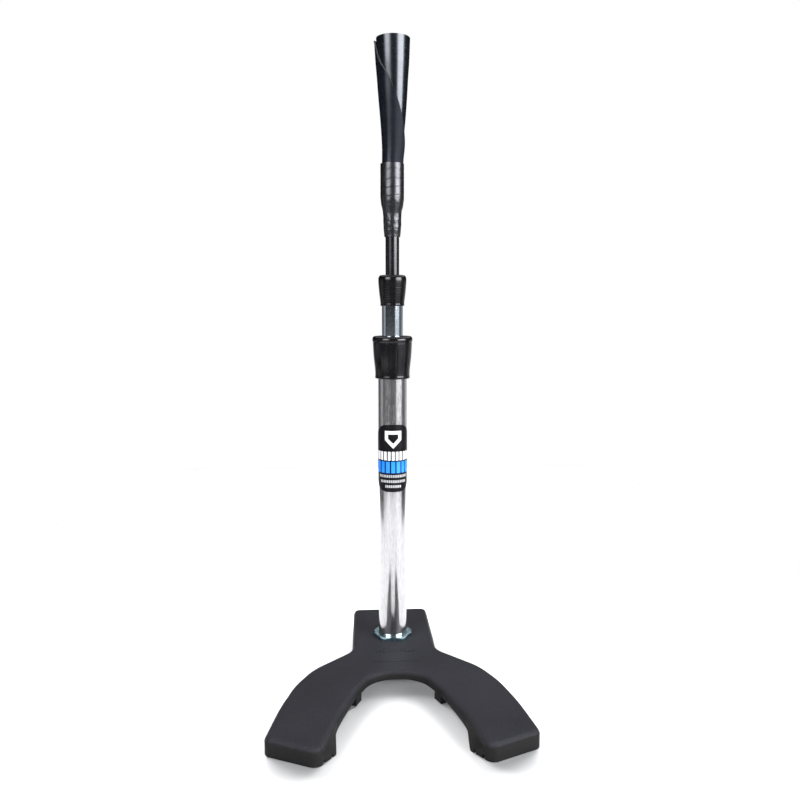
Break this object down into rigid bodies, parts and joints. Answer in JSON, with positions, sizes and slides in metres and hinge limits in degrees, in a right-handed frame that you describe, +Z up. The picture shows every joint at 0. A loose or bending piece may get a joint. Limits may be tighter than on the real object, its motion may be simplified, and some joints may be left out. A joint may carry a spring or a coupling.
{
  "type": "batting tee",
  "caption": "Height-adjustable batting tee: claw-shaped flat base, three telescoping tubes with rubber collars, and a rolled rubber cone that holds the ball.",
  "frame": {"origin": "on the ground, under the middle of the base's outline", "axes": "+Z up along the post; the claw's two arms point to -Y and the post stands near the +Y end; +X to the right as seen from the arms' side"},
  "size_m": [0.2704, 0.3477, 0.739],
  "materials": {
    "moulded_black": "satin moulded finish",
    "plain_steel": "mill finish",
    "cover_black": "matt",
    "zinc_plate": "bright zinc plate",
    "clear_aluminium": "clear anodised, lightly brushed",
    "bright_steel": "bright nickel-zinc plate",
    "black_tube": "black coating, satin",
    "collar_rubber": "satin moulded rubber",
    "sheet_rubber": "smooth sheet rubber, slight sheen",
    "vinyl_tape": "semi-gloss vinyl",
    "white_nylon": "natural nylon",
    "label_film": "printed film, semi-gloss"
  },
  "bodies": {
    "base": {"base_jacket": "moulded_black", "weight_plate": "plain_steel", "bottom_cover": "cover_black", "cover_screw_1": "zinc_plate", "cover_screw_2": "zinc_plate", "cover_screw_3": "zinc_plate", "cover_screw_4": "zinc_plate", "cover_screw_5": "zinc_plate", "cover_screw_6": "zinc_plate", "base_hub": "plain_steel", "lock_nut": "zinc_plate", "lower_tube": "clear_aluminium", "label": "label_film", "lower_collar": "collar_rubber", "lower_guide_bush": "white_nylon"},
    "middle_slider": {"middle_plug": "white_nylon", "middle_o_ring_1": "collar_rubber", "middle_o_ring_2": "collar_rubber"},
    "middle": {"middle_tube": "bright_steel", "middle_tube_insert": "zinc_plate", "middle_swivel_screw": "zinc_plate", "upper_collar": "collar_rubber", "upper_guide_bush": "white_nylon"},
    "upper_slider": {"upper_plug": "white_nylon", "upper_o_ring_1": "collar_rubber", "upper_o_ring_2": "collar_rubber"},
    "upper": {"upper_tube": "black_tube", "upper_tube_insert": "zinc_plate", "upper_swivel_screw": "zinc_plate", "upper_tube_cap": "collar_rubber", "tape_wrap": "vinyl_tape", "ball_rest": "sheet_rubber"}
  },
  "joints": [
    {"name": "middle_slide", "type": "slide", "parent": "base", "child": "middle_slider", "axis": [0, 0, 1], "range_m": [-0.0357, 0.194]},
    {"name": "middle_swivel", "type": "hinge", "parent": "middle_slider", "child": "middle", "pos_m": [0, 0.08665, 0.12], "axis": [0, 0, 1], "continuous": true},
    {"name": "upper_slide", "type": "slide", "parent": "middle", "child": "upper_slider", "axis": [0, 0, 1], "range_m": [-0.0445, 0.157]},
    {"name": "upper_swivel", "type": "hinge", "parent": "upper_slider", "child": "upper", "pos_m": [0, 0.08665, 0.24], "axis": [0, 0, 1], "continuous": true}
  ]
}
